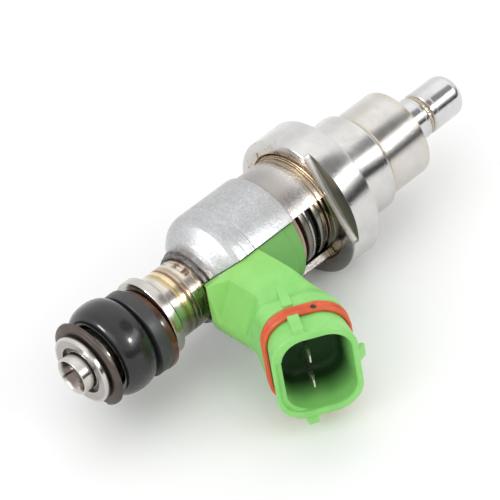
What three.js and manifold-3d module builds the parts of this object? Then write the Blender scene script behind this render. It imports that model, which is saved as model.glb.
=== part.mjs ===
// Direct fuel injector with a side connector, built the way the real one comes apart on a bench.
// Frame: millimetres. X runs along the injector's axis towards the spray tip, the connector points
// to -Y and leans back towards the fuel inlet, and Z is up. The origin is on the axis, in the plane
// of the flange's seat face.
import * as THREE from 'three';
import { mergeVertices } from 'three/addons/utils/BufferGeometryUtils.js';
import Module from 'manifold-3d';

const wasm = await Module();
wasm.setup();

// ---- driving dimensions ------------------------------------------------------------------------
const ROUND = 24; // flats round a large turned piece
const ROUND_SMALL = 16; // flats round a small inner piece
const FIT = 0.06; // clearance left between pieces that are pressed or welded together

const INLET_END = -58.24; // mouth of the inlet nose
const DISC_FRONT = -56.3; // front of the inlet cap's disc
const DISC_BACK = -55.4;
const DISC_R = 6.1;
const PIPE_START = -55.3;
const PIPE_CORE_R = 5.0; // pipe under the seals
const PIPE_R = 5.9; // pipe between the collar and the shell
const COLLAR_START = -41.6;
const COLLAR_END = -39.5;
const COLLAR_R = 7.25;
const PIPE_END = -28.1;
const CAP_BORE_R = 3.66; // counterbore that takes the cap's spigot
const FUEL_BORE_R = 2.6;

const NECK_START = -32.3; // rolled neck of the solenoid shell
const SHELL_END = -14.31;
const SHELL_R = 10.53;
const SHELL_WALL = 1.2;
const SLEEVE_R = 9.9; // lower sleeve, between the shell and the flange
const SLEEVE_WALL = 1.2;
const SLEEVE_END = -6.75;
const SLOT_ANGLE = 39.5; // half-angle of the slot that the connector leaves through, in degrees

const CORE_START = -34.0; // fixed magnetic core
const CORE_END = -14.2;
const CORE_R = 4.2;
const CORE_BORE_R = 2.1;
const COIL_START = -27.2;
const COIL_END = -13.0;
const COIL_FLANGE_R = 8.6;

const FLANGE_FRONT = -6.62;
const FLANGE_STEP = -5.25; // the locating flat stops here
const FLANGE_R = 13.0;
const LOCATING_FLAT = 9.85; // axis to the locating flat
const LOCATING_FLAT_ANGLE = 32.85; // degrees from the connector's side, towards the top
const BODY_R = 9.2; // first cylinder past the flange
const BODY_END = 8.0;
const HOLDER_R = 8.15; // second cylinder
const HOLDER_START = 8.76;
const HOLDER_END = 17.7;
const TUBE_R = 3.93; // slim spray tube
const TUBE_START = 9.2;
const WELD_START = 22.8;
const WELD_END = 23.6;
const TIP_SHOULDER = 29.6;
const TIP_END = 31.6;

const LIFT = 0.08; // how far the needle opens
const NEEDLE_R = 1.1;
const ARMATURE_START = CORE_END + LIFT + 0.07;
const ARMATURE_END = -8.3;

const SOCKET_TILT = 31; // degrees that the socket leans back towards the inlet
const MOUTH = [-33.5, -31.6, 0]; // centre of the socket's mouth
const SHROUD_H = 17.6; // outside of the shroud, in Z
const SHROUD_MOUTH = [-7.3, 7.0]; // its sides at the mouth, across the socket
const SHROUD_SEAL = [-6.8, 6.4]; // its sides under the seal, where it is a little narrower
const SHROUD_CORNER = 5;
const CAVITY_DEPTH = 9;
const CAVITY_SIDES = [-5.55, 5.9];
const RIM_STEP_DEPTH = 0.8;
const SHOULDER_DEPTH = 6.9; // mouth to the shoulder behind the seal
const SEAL_DEPTH = 4.5; // mouth to the seal's front
const ROOT_INLET_X = -34.4; // the connector's arm, where it leaves the shell
const ROOT_NOZZLE_X = -22.5;
const ROOT_HALF_H = 6.35;

const BLADE_T = 0.64;
const BLADE_W = 2.2;
const BLADE_PITCH = 5.4;
const BLADE_SHIFT = -0.8; // the blades stand off the socket's centre line
const BLADE_DROP = -0.4; // middle of the pair of blades, in Z
const BLADE_TIP_DEPTH = 1.4;
const BLADE_END_DEPTH = 23;

// ---- finishes ----------------------------------------------------------------------------------
function finish(colour, roughness, metalness) {
  return new THREE.MeshStandardMaterial({ color: colour, roughness, metalness });
}

const FINISHES = {
  turnedSteel: [0xb9b8b4, 0.3, 1],
  satinSteel: [0xc4c6c7, 0.42, 1],
  tintedSteel: [0xa8947c, 0.38, 1],
  darkSteel: [0x4a423d, 0.5, 0.9],
  iron: [0x8b8d90, 0.45, 1],
  springSteel: [0x6f7478, 0.35, 1],
  copper: [0xb0602c, 0.4, 1],
  blackRubber: [0x141414, 0.35, 0],
  blackPlastic: [0x2a2a2b, 0.5, 0],
  brownPlastic: [0x5a2f14, 0.4, 0],
  paleBobbin: [0xc9a68f, 0.55, 0],
  greenPlastic: [0x5cc43f, 0.42, 0],
  orangeRubber: [0xe04a1c, 0.5, 0],
  tinPlate: [0xd0cdbd, 0.3, 1],
  meshSteel: [0x9a9a90, 0.6, 1],
};

// ---- geometry helpers --------------------------------------------------------------------------
function shared(geometry) {
  geometry.deleteAttribute('normal');
  geometry.deleteAttribute('uv');
  return mergeVertices(geometry, 1e-5);
}

function toSolid(geometry) {
  const merged = shared(geometry);
  const index = [...merged.index.array];
  const triVerts = [];
  for (let i = 0; i < index.length; i += 3) {
    const [a, b, c] = index.slice(i, i + 3);
    if (a !== b && b !== c && c !== a) triVerts.push(a, b, c);
  }
  const solid = new wasm.Manifold(
    new wasm.Mesh({
      numProp: 3,
      vertProperties: new Float32Array(merged.attributes.position.array),
      triVerts: new Uint32Array(triVerts),
    })
  );
  if (solid.volume() > 0) return solid;
  return toSolid(turnedInsideOut(merged));
}

function turnedInsideOut(geometry) {
  const index = [...geometry.index.array];
  for (let i = 0; i < index.length; i += 3) {
    const second = index[i + 1];
    index[i + 1] = index[i + 2];
    index[i + 2] = second;
  }
  geometry.setIndex(index);
  return geometry;
}

function toGeometry(solid) {
  const mesh = solid.getMesh();
  const geometry = new THREE.BufferGeometry();
  geometry.setAttribute('position', new THREE.BufferAttribute(new Float32Array(mesh.vertProperties), 3));
  geometry.setIndex(new THREE.BufferAttribute(new Uint32Array(mesh.triVerts), 1));
  return geometry;
}

// A turned piece: a closed profile of [x, radius] points swept round the X axis.
function turned(profile, flats = ROUND) {
  const points = profile.map(([x, r]) => new THREE.Vector2(r, x));
  if (profile[0][1] > 0) points.push(points[0].clone());
  const geometry = new THREE.LatheGeometry(points, flats);
  geometry.rotateZ(-Math.PI / 2);
  return toSolid(geometry);
}

// A plain ring with small chamfers on its outer corners.
function ringSolid(start, end, inner, outer, chamfer = 0.15, flats = ROUND) {
  return turned(
    [
      [start, inner],
      [start, outer - chamfer],
      [start + chamfer, outer],
      [end - chamfer, outer],
      [end, outer - chamfer],
      [end, inner],
    ],
    flats
  );
}

function block(low, high) {
  const size = high.map((value, axis) => value - low[axis]);
  const geometry = new THREE.BoxGeometry(...size);
  geometry.translate(...low.map((value, axis) => value + size[axis] / 2));
  return toSolid(geometry);
}

// A wedge that opens from the axis towards the connector's side.
function wedge(halfAngle, start, end) {
  const reach = 30;
  const rise = reach * Math.tan(THREE.MathUtils.degToRad(halfAngle));
  const outline = [
    [0, 0],
    [-reach, rise],
    [-reach, -rise],
  ];
  const geometry = new THREE.ExtrudeGeometry(shapeOf(outline), { depth: end - start, bevelEnabled: false });
  const axes = [new THREE.Vector3(0, 1, 0), new THREE.Vector3(0, 0, 1), new THREE.Vector3(1, 0, 0)];
  geometry.applyMatrix4(new THREE.Matrix4().makeBasis(...axes).setPosition(start, 0, 0));
  return toSolid(geometry);
}

// The slot on the connector's side, cut through a turned shell.
function cutSlot(solid) {
  return solid.subtract(wedge(SLOT_ANGLE, -60, 20));
}

// An outline with four corner radii, in the order +x+y, -x+y, -x-y, +x-y.
function roundedOutline(left, right, halfHeight, radii, steps = 5) {
  const corners = [
    [right, halfHeight],
    [left, halfHeight],
    [left, -halfHeight],
    [right, -halfHeight],
  ];
  return corners.flatMap(([x, y], corner) => {
    const radius = radii[corner];
    const cx = x - Math.sign(x - (left + right) / 2) * radius;
    const cy = y - Math.sign(y) * radius;
    return Array.from({ length: steps + 1 }, (_, step) => {
      const angle = (Math.PI / 2) * (corner + step / steps);
      return [cx + radius * Math.cos(angle), cy + radius * Math.sin(angle)];
    });
  });
}

function shapeOf(outline) {
  return new THREE.Shape(outline.map(([x, y]) => new THREE.Vector2(x, y)));
}

// Socket frame: x across the socket, y up, z out of its mouth, with its origin at the mouth.
const tilt = THREE.MathUtils.degToRad(SOCKET_TILT);
const ACROSS = new THREE.Vector3(Math.cos(tilt), -Math.sin(tilt), 0);
const UP = new THREE.Vector3(0, 0, 1);
const OUT = new THREE.Vector3(-Math.sin(tilt), -Math.cos(tilt), 0);
const SOCKET = new THREE.Matrix4().makeBasis(ACROSS, UP, OUT).setPosition(...MOUTH);

// A prism along the socket's axis, between two depths behind the mouth.
function alongSocket(outline, nearDepth, farDepth) {
  const geometry = new THREE.ExtrudeGeometry(shapeOf(outline), {
    depth: farDepth - nearDepth,
    bevelEnabled: false,
  });
  geometry.translate(0, 0, -farDepth);
  geometry.applyMatrix4(SOCKET);
  return toSolid(geometry);
}

function rectangle(left, right, bottom, top) {
  return [
    [left, bottom],
    [right, bottom],
    [right, top],
    [left, top],
  ];
}

// A closed body skinned over outlines that all have the same number of points.
function loft(sections) {
  const count = sections[0].outline.length;
  const vertices = [];
  const index = [];
  for (const { centre, xAxis, outline } of sections) {
    const across = new THREE.Vector3(...xAxis).normalize();
    for (const [x, y] of outline) {
      const point = new THREE.Vector3(...centre).addScaledVector(across, x).addScaledVector(UP, y);
      vertices.push(point.x, point.y, point.z);
    }
  }
  for (let section = 0; section < sections.length - 1; section += 1) {
    for (let i = 0; i < count; i += 1) {
      const a = section * count + i;
      const b = section * count + ((i + 1) % count);
      index.push(a, b, b + count, a, b + count, a + count);
    }
  }
  const last = (sections.length - 1) * count;
  for (let i = 1; i < count - 1; i += 1) {
    index.push(0, i + 1, i);
    index.push(last, last + i, last + i + 1);
  }
  const geometry = new THREE.BufferGeometry();
  geometry.setAttribute('position', new THREE.Float32BufferAttribute(vertices, 3));
  geometry.setIndex(index);
  return toSolid(geometry);
}

const injector = new THREE.Group();

function add(name, solid, look) {
  const mesh = new THREE.Mesh(toGeometry(solid), finish(...FINISHES[look]));
  mesh.name = name;
  injector.add(mesh);
}

// ---- fuel inlet --------------------------------------------------------------------------------
// Nose with a flared mouth, a thin disc that holds the seals on, a groove in the disc round the
// nose, and a spigot pressed into the pipe.
function inletCap() {
  const spigotEnd = -50;
  const noseR = 3.35;
  const grooveR = 4.3;
  const grooveFloor = DISC_FRONT + 0.5;
  return turned([
    [INLET_END, 3.0],
    [INLET_END, noseR - 0.1],
    [INLET_END + 0.1, noseR],
    [grooveFloor, noseR],
    [grooveFloor, grooveR],
    [DISC_FRONT, grooveR],
    [DISC_FRONT, DISC_R - 0.25],
    [DISC_FRONT + 0.25, DISC_R],
    [DISC_BACK - 0.2, DISC_R],
    [DISC_BACK, DISC_R - 0.2],
    [DISC_BACK, CAP_BORE_R - FIT],
    [spigotEnd, CAP_BORE_R - FIT],
    [spigotEnd, 1.8],
    [INLET_END + 2.6, 1.8],
    [INLET_END + 1.6, 2.3],
  ]);
}

// Open-ended conical strainer behind the cap.
function inletFilter() {
  const wall = 0.3;
  return turned(
    [
      [-49.8, 2.5],
      [-40.6, 1.5],
      [-40, 0],
      [-40 - wall, 0],
      [-40.8, 1.5 - wall],
      [-49.8, 2.5 - wall],
    ].reverse(),
    ROUND_SMALL
  );
}

function inletPipe() {
  const collarChamfer = 0.45;
  return turned([
    [PIPE_START, PIPE_CORE_R - 0.2],
    [PIPE_START + 0.2, PIPE_CORE_R],
    [COLLAR_START, PIPE_CORE_R],
    [COLLAR_START, COLLAR_R - 0.2],
    [COLLAR_START + 0.2, COLLAR_R],
    [COLLAR_END - collarChamfer, COLLAR_R],
    [COLLAR_END, COLLAR_R - collarChamfer],
    [COLLAR_END, PIPE_R],
    [PIPE_END, PIPE_R],
    [PIPE_END, CORE_R + FIT],
    [CORE_START - FIT, CORE_R + FIT],
    [CORE_START - FIT, FUEL_BORE_R],
    [-49.9, FUEL_BORE_R],
    [-49.9, CAP_BORE_R],
    [PIPE_START, CAP_BORE_R],
  ]);
}

// Flat split ring that keeps the seals on the pipe; its gap is on the underside.
function retainerRing() {
  const start = -55.05;
  const end = -54.15;
  const gapCentre = THREE.MathUtils.degToRad(-81);
  const cutter = new THREE.BoxGeometry(4, 8, 4);
  cutter.translate(0, -7, 0);
  cutter.rotateX(-gapCentre);
  cutter.translate(start, 0, 0);
  const ring = turned([
    [start, PIPE_CORE_R + FIT],
    [start, 7.45],
    [start + 0.3, 7.7],
    [end, 7.8],
    [end, PIPE_CORE_R + FIT],
  ]);
  return ring.subtract(toSolid(cutter));
}

// Fat sealing ring, squeezed a little oval.
function inletORing() {
  const centre = -49.25;
  const halfWidth = 3.2;
  const inner = PIPE_CORE_R + FIT;
  const outer = 8.35;
  const halfHeight = (outer - inner) / 2;
  const steps = 12;
  const profile = Array.from({ length: steps }, (_, i) => {
    const angle = (2 * Math.PI * i) / steps;
    return [centre - halfWidth * Math.cos(angle), inner + halfHeight * (1 + Math.sin(angle))];
  });
  return turned(profile);
}

// Loose backup ring: it hangs off the pipe's centre by its slack.
function backupRing(start, end, inner, outer, aside, down) {
  return ringSolid(start, end, inner, outer, 0.25).translate([0, -aside, -down]);
}

// ---- inside the solenoid -----------------------------------------------------------------------
function fixedCore() {
  return turned([
    [CORE_START, CORE_BORE_R],
    [CORE_START, CORE_R],
    [CORE_END, CORE_R],
    [CORE_END, CORE_BORE_R],
  ]);
}

function coilBobbin() {
  const hub = 5.4;
  const drum = 6.0;
  const cheek = 1.1;
  return turned([
    [COIL_START, hub],
    [COIL_START, COIL_FLANGE_R],
    [COIL_START + cheek, COIL_FLANGE_R],
    [COIL_START + cheek, drum],
    [COIL_END - cheek - 0.2, drum],
    [COIL_END - cheek - 0.2, COIL_FLANGE_R],
    [COIL_END, COIL_FLANGE_R],
    [COIL_END, hub],
  ]);
}

function returnSpring() {
  const start = -24.7;
  const end = -16.25;
  const turns = 5;
  const radius = 1.45;
  const wire = 0.27;
  class Helix extends THREE.Curve {
    getPoint(t, target = new THREE.Vector3()) {
      const angle = 2 * Math.PI * turns * t;
      const x = THREE.MathUtils.lerp(start + wire, end - wire, t);
      return target.set(x, radius * Math.cos(angle), radius * Math.sin(angle));
    }
  }
  const section = new THREE.Shape();
  section.absarc(0, 0, wire, 0, 2 * Math.PI);
  return toSolid(
    new THREE.ExtrudeGeometry(section, {
      curveSegments: 3,
      steps: 12 * turns,
      extrudePath: new Helix(),
    })
  );
}

// ---- shell and sleeve --------------------------------------------------------------------------
// Drawn shell: a neck round the pipe, a domed shoulder and a long barrel, open on the connector side.
function solenoidShell() {
  const barrelInner = SHELL_R - SHELL_WALL;
  return cutSlot(
    turned([
      [NECK_START, PIPE_R + FIT],
      [NECK_START, 6.6],
      [-31.6, 6.6],
      [-31.5, 7.0],
      [-30.2, 7.3],
      [-29.1, 8.2],
      [-28.4, 9.2],
      [-27.5, 10.05],
      [-26.6, 10.45],
      [-25.9, SHELL_R],
      [SHELL_END - 0.3, SHELL_R],
      [SHELL_END, SHELL_R - 0.3],
      [SHELL_END, barrelInner],
      [-26.4, barrelInner],
      [-27.6, 8.8],
      [-28.0, PIPE_R + FIT],
    ])
  );
}

// Lower sleeve: nested in the shell at one end, welded to the flange at the other.
function lowerSleeve() {
  const nested = SHELL_R - SHELL_WALL - FIT;
  const inner = SLEEVE_R - SLEEVE_WALL;
  return cutSlot(
    turned([
      [-16.6, inner],
      [-16.6, nested],
      [SHELL_END + FIT, nested],
      [SHELL_END + FIT, SLEEVE_R - 0.15],
      [SHELL_END + FIT + 0.3, SLEEVE_R],
      [SLEEVE_END, SLEEVE_R],
      [SLEEVE_END, inner],
    ])
  );
}

// ---- connector ---------------------------------------------------------------------------------
// Clearance envelope of the pipe and coil, which the plastic is moulded round.
function mouldedCore() {
  return turned([
    [-60, 0],
    [-60, 6.3],
    [-28.4, 6.3],
    [-27.6, COIL_FLANGE_R + 0.3],
    [-10, COIL_FLANGE_R + 0.3],
    [-10, 0],
  ]);
}

// Everything inside the shell's outline except its slot, which the plastic keeps clear of.
function shellEnvelope() {
  const start = -60;
  const end = SHELL_END + 0.1;
  const slack = 0.12;
  const outer = turned([
    [start, 0],
    [start, SHELL_R + slack],
    [end, SHELL_R + slack],
    [end, 0],
  ]);
  return outer.subtract(wedge(SLOT_ANGLE - 1, start - 1, end + 1));
}

// Arm that leaves the shell square to the axis and swings back into the tilted socket.
function connectorArm() {
  const middle = (ROOT_INLET_X + ROOT_NOZZLE_X) / 2;
  const half = (ROOT_NOZZLE_X - ROOT_INLET_X) / 2;
  const root = roundedOutline(-half, half, ROOT_HALF_H, [0.4, 4.2, 5.6, 0.4]);
  const elbow = roundedOutline(-half - 0.2, half, ROOT_HALF_H + 0.5, [1.2, 4.6, 5.4, 1.2]);
  const shoulder = roundedOutline(-7.4, 6.9, SHROUD_H / 2 + 0.4, [5.2, 5.2, 5.2, 5.2]);
  return loft([
    { centre: [middle, -3, 0], xAxis: [1, 0, 0], outline: root },
    { centre: [middle, -15.5, 0], xAxis: [1, 0, 0], outline: root },
    { centre: [middle - 0.1, -19.4, 0], xAxis: [0.95, -0.31, 0], outline: elbow },
    { centre: pointAtDepth(SHOULDER_DEPTH + 1.6), xAxis: ACROSS.toArray(), outline: shoulder },
    { centre: pointAtDepth(SHOULDER_DEPTH), xAxis: ACROSS.toArray(), outline: shoulder },
  ]);
}

// Curved pad of plastic that fills the rest of the shell's slot.
function slotPad() {
  const pad = ringSolid(-29.0, SHELL_END - 0.1, 3, 10.0, 0.1);
  return pad.intersect(wedge(SLOT_ANGLE - 1, -30, 0));
}

function shroudOutline([left, right], grow) {
  const radius = SHROUD_CORNER + grow;
  return roundedOutline(left - grow, right + grow, SHROUD_H / 2 + grow, Array(4).fill(radius));
}

function pointAtDepth(depth) {
  return new THREE.Vector3(...MOUTH).addScaledVector(OUT, -depth).toArray();
}

// Shroud that flares a little towards its mouth.
function shroud() {
  const xAxis = ACROSS.toArray();
  return loft([
    { centre: pointAtDepth(SHOULDER_DEPTH + 2), xAxis, outline: shroudOutline(SHROUD_SEAL, 0) },
    { centre: pointAtDepth(SEAL_DEPTH), xAxis, outline: shroudOutline(SHROUD_SEAL, 0) },
    { centre: pointAtDepth(0), xAxis, outline: shroudOutline(SHROUD_MOUTH, 0) },
  ]);
}

// Hollow for the plug, and the shallow step in the rim on its inlet side.
function socketCavity() {
  const [left, right] = CAVITY_SIDES;
  const corners = [4, 4, 4, 4];
  const hollow = alongSocket(roundedOutline(left, right, 7.5, corners), -1, CAVITY_DEPTH);
  const wider = alongSocket(roundedOutline(left - 0.9, right, 7.5, corners), -1, RIM_STEP_DEPTH);
  const below = alongSocket(rectangle(-8, 0, -8, 4.1), -2, CAVITY_DEPTH);
  return hollow.add(wider.intersect(below));
}

// Guide ribs and the catch for the plug's latch, outside the shroud.
function shroudRibs() {
  return [
    alongSocket(rectangle(-3.05, -1.0, 8, 9.9), 0.3, SEAL_DEPTH - 0.1),
    alongSocket(rectangle(-3.05, -1.2, 6, 9.6), SHOULDER_DEPTH, SHOULDER_DEPTH + 5),
    alongSocket(rectangle(-3, -1, -10.7, -8), 0.3, SEAL_DEPTH - 0.1),
    latchCatch(),
  ];
}

// Catch for the plug's latch: a ramp towards the mouth and a square back.
function latchCatch() {
  const outline = [
    [6.2, -3.4],
    [8.4, -3.4],
    [8.4, -2.6],
    [7.0, -1.2],
    [6.2, -1.2],
  ];
  const geometry = new THREE.ExtrudeGeometry(shapeOf(outline), { depth: 2.4, bevelEnabled: false });
  const below = new THREE.Vector3(0, 0, -1);
  const top = new THREE.Vector3(...MOUTH).setZ(1.3);
  geometry.applyMatrix4(new THREE.Matrix4().makeBasis(ACROSS, OUT, below).setPosition(top));
  return toSolid(geometry);
}

function bladeHeight(side) {
  return BLADE_DROP + (side * BLADE_PITCH) / 2;
}

function bladePocket(z) {
  const slack = 0.3;
  const halfT = BLADE_T / 2 + slack;
  const halfW = BLADE_W / 2 + slack;
  const outline = rectangle(BLADE_SHIFT - halfT, BLADE_SHIFT + halfT, z - halfW, z + halfW);
  return alongSocket(outline, CAVITY_DEPTH - 1, BLADE_END_DEPTH + 1);
}

function connectorBody() {
  const besidePipe = block([-60, -7.7, -20], [NECK_START - 0.3, 20, 20]);
  let body = connectorArm().subtract(shellEnvelope()).subtract(besidePipe);
  body = body.add(slotPad()).add(shroud());
  for (const rib of shroudRibs()) {
    body = body.add(rib);
  }
  body = body.subtract(socketCavity());
  for (const side of [-1, 1]) {
    body = body.subtract(bladePocket(bladeHeight(side)));
  }
  return body.subtract(mouldedCore());
}

// Two-lipped seal round the shroud.
function connectorSeal() {
  const lip = 0.9;
  const front = alongSocket(shroudOutline(SHROUD_SEAL, 0.7), SEAL_DEPTH, SEAL_DEPTH + lip);
  const waist = alongSocket(shroudOutline(SHROUD_SEAL, 0.45), SEAL_DEPTH + 0.5, SEAL_DEPTH + 1.6);
  const back = alongSocket(shroudOutline(SHROUD_SEAL, 0.7), SEAL_DEPTH + 1.2, SHOULDER_DEPTH - 0.3);
  const inside = alongSocket(shroudOutline(SHROUD_SEAL, 0.1), SEAL_DEPTH - 1, SHOULDER_DEPTH + 1);
  return front.add(waist).add(back).subtract(inside);
}

// Flat terminal with a chamfered end, straight from the socket to the coil.
function terminal(z) {
  const left = BLADE_SHIFT - BLADE_T / 2;
  const right = BLADE_SHIFT + BLADE_T / 2;
  const half = BLADE_W / 2;
  const blade = alongSocket(rectangle(left, right, z - half, z + half), BLADE_TIP_DEPTH + 0.7, BLADE_END_DEPTH);
  const tip = alongSocket(
    rectangle(left + 0.15, right - 0.15, z - half + 0.35, z + half - 0.35),
    BLADE_TIP_DEPTH,
    BLADE_TIP_DEPTH + 0.8
  );
  return blade.add(tip);
}

// ---- flange and nozzle -------------------------------------------------------------------------
// One turned piece: neck, locating flange and first cylinder.
function flangeBody() {
  const body = turned([
    [-8.0, 4.45],
    [-8.0, 7.8],
    [-7.3, 7.8],
    [-7.2, 8.5],
    [FLANGE_FRONT + 0.4, 8.5],
    [FLANGE_FRONT + 0.4, 10.2],
    [FLANGE_FRONT, 10.5],
    [FLANGE_FRONT, FLANGE_R - 0.3],
    [FLANGE_FRONT + 0.3, FLANGE_R],
    [-0.3, FLANGE_R],
    [0, FLANGE_R - 0.3],
    [0, BODY_R],
    [BODY_END - 0.2, BODY_R],
    [HOLDER_START - FIT, HOLDER_R + 0.1],
    [HOLDER_START - FIT, 6.1],
    [2.1, 6.1],
    [2.1, 2.4],
    [-3.3, 2.4],
    [-3.3, 4.95],
    [-5.0, 4.95],
    [-5.0, 4.45],
  ]);
  const cutter = new THREE.BoxGeometry(10, 10, 40);
  cutter.translate(FLANGE_STEP - 5, -LOCATING_FLAT - 5, 0);
  cutter.rotateX(-THREE.MathUtils.degToRad(LOCATING_FLAT_ANGLE));
  return body.subtract(toSolid(cutter));
}

// Washer with a side slot, which limits the needle's lift.
function needleStop() {
  const washer = ringSolid(-4.9, -3.4, 1.5, 4.85, 0.1);
  return washer.subtract(block([-6, -6, -1.5], [-2, 0, 1.5]));
}

function armature() {
  return turned([
    [ARMATURE_START, NEEDLE_R + FIT],
    [ARMATURE_START, 4.0],
    [ARMATURE_END, 4.0],
    [ARMATURE_END, NEEDLE_R + FIT],
  ]);
}

// Needle with a spring head, two guide lands and a conical end on the seat.
function needle() {
  return turned(
    [
      [-16.1, 0],
      [-16.1, 1.8],
      [ARMATURE_START - FIT - 0.6, 1.8],
      [ARMATURE_START - FIT - 0.6, NEEDLE_R],
      [-3.1, NEEDLE_R],
      [-3.1, 2.0],
      [-2.1, 2.0],
      [-2.1, NEEDLE_R],
      [24.2, NEEDLE_R],
      [24.4, 1.55],
      [26.6, 1.55],
      [26.8, NEEDLE_R],
      [28.3, NEEDLE_R],
      [29.2, 0.3],
      [29.3, 0],
    ],
    ROUND_SMALL
  );
}

function nozzleHolder() {
  return turned([
    [2.2, 3.2],
    [2.2, 6.0],
    [HOLDER_START, 6.0],
    [HOLDER_START, HOLDER_R - 0.1],
    [HOLDER_START + 0.1, HOLDER_R],
    [HOLDER_END - 0.5, HOLDER_R],
    [HOLDER_END, HOLDER_R - 0.5],
    [HOLDER_END, TUBE_R + FIT],
    [TUBE_START - FIT, TUBE_R + FIT],
    [TUBE_START - FIT, 3.2],
  ]);
}

function nozzleTube() {
  return turned([
    [TUBE_START, 3.0],
    [TUBE_START, TUBE_R],
    [WELD_START - 0.2, TUBE_R],
    [WELD_START, TUBE_R - 0.2],
    [WELD_START, 3.0],
  ]);
}

// Closed tip with a rounded end, a conical seat and one fan-spray slit.
function nozzleTip() {
  const radius = TIP_END - TIP_SHOULDER;
  const dome = Array.from({ length: 5 }, (_, i) => {
    const angle = (Math.PI / 8) * i;
    return [TIP_SHOULDER + radius * Math.sin(angle), TUBE_R - radius * (1 - Math.cos(angle))];
  });
  const body = turned([
    [20.2, 1.62],
    [20.2, 2.94],
    [WELD_START + 0.02, 2.94],
    [WELD_END, 2.94],
    [WELD_END, TUBE_R - 0.2],
    [WELD_END + 0.2, TUBE_R],
    ...dome,
    [TIP_END, 0],
    [30.1, 0],
    [29.6, 0.45],
    [29.3, 0.5],
    [28.0, 1.62],
  ]);
  return body.subtract(block([29.9, -1.1, -0.12], [33, 1.1, 0.12]));
}

// ---- assembly ----------------------------------------------------------------------------------
add('inlet_cap', inletCap(), 'turnedSteel');
add('inlet_filter', inletFilter(), 'meshSteel');
add('inlet_pipe', inletPipe(), 'tintedSteel');
add('retainer_ring', retainerRing(), 'darkSteel');
add('inlet_o_ring', inletORing(), 'blackRubber');
add('backup_ring_black', backupRing(-45.7, -43.4, 5.75, 7.7, 0.42, 0.42), 'blackPlastic');
add('backup_ring_brown', backupRing(-43.3, -41.9, 6.38, 7.35, 0.45, 1.2), 'brownPlastic');
add('fixed_core', fixedCore(), 'iron');
add('adjusting_sleeve', ringSolid(-31, -25, 1.2, CORE_BORE_R - FIT, 0.1, ROUND_SMALL), 'turnedSteel');
add('return_spring', returnSpring(), 'springSteel');
add('coil_bobbin', coilBobbin(), 'paleBobbin');
add('coil_winding', ringSolid(COIL_START + 1.2, COIL_END - 1.4, 6.06, 8.3, 0.1), 'copper');
add('nonmagnetic_sleeve', ringSolid(-16.4, -8.2, CORE_R + FIT, 5.2, 0.1), 'satinSteel');
add('solenoid_shell', solenoidShell(), 'satinSteel');
add('lower_sleeve', lowerSleeve(), 'tintedSteel');
add('connector_body', connectorBody(), 'greenPlastic');
add('connector_seal', connectorSeal(), 'orangeRubber');
add('terminal_lower', terminal(bladeHeight(-1)), 'tinPlate');
add('terminal_upper', terminal(bladeHeight(1)), 'tinPlate');
add('yoke_washer', ringSolid(-12.2, -11.1, 5.3, 8.4, 0.15), 'iron');
add('thrust_washer', ringSolid(-11.0, -10.5, 5.3, 8.3, 0.1), 'turnedSteel');
add('dust_seal', ringSolid(-10.4, -9.4, 5.3, 7.6, 0.3), 'blackRubber');
add('spacer_ring', ringSolid(-9.3, -8.15, 5.3, 8.3, 0.2), 'iron');
add('flange_body', flangeBody(), 'turnedSteel');
add('needle_stop', needleStop(), 'springSteel');
add('armature', armature(), 'iron');
add('needle', needle(), 'turnedSteel');
add('needle_guide', ringSolid(11, 14, 1.25, 2.94, 0.1, ROUND), 'iron');
add('nozzle_holder', nozzleHolder(), 'turnedSteel');
add('nozzle_tube', nozzleTube(), 'turnedSteel');
add('tip_weld_bead', ringSolid(WELD_START + 0.05, WELD_END - 0.05, 2.99, TUBE_R - 0.12, 0.12), 'tintedSteel');
add('nozzle_tip', nozzleTip(), 'turnedSteel');

export default injector;
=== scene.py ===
import itertools
import math

import bmesh
import bpy
import numpy as np
from mathutils import Matrix, Vector


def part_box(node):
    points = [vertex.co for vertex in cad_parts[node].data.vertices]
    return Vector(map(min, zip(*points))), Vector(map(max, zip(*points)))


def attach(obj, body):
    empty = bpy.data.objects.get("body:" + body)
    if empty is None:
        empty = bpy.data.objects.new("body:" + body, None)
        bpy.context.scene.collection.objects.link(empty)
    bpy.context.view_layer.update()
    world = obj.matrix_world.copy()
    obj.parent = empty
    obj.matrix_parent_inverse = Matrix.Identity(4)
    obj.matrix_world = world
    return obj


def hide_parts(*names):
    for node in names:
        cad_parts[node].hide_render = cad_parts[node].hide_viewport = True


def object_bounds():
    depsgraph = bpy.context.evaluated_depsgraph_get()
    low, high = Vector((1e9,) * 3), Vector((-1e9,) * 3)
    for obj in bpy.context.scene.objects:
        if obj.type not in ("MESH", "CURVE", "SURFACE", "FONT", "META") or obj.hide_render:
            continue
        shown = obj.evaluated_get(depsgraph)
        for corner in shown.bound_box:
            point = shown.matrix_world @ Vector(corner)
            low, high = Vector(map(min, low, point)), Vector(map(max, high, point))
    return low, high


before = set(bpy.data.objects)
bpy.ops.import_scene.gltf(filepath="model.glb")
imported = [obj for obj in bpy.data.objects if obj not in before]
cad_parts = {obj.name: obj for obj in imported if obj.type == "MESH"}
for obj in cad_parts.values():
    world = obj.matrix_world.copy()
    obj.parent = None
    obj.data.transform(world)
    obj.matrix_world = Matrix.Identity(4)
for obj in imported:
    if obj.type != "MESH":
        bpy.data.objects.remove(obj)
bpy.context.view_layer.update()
BODY = "injector_body"
MM = 0.001  # shapes below are in millimetres, the scene is in metres
RING_STEPS = 192  # facets round a large turned piece
FILLET = 0.08  # edge radius where a profile gives none
FILLET_STEPS = 3
FLAT_LEAN = math.radians(32.85)  # the flange's locating flat, turned from the connector's side
SLOT_START, SLOT_END = 39.5, 320.5  # degrees of shell and sleeve, either side of the connector's slot


# ---- turned pieces ----------------------------------------
def span(node):
    """Where a node starts and ends along the axis, and its largest radius, in millimetres."""
    low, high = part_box(node)
    return low.x / MM, high.x / MM, high.z / MM


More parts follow.
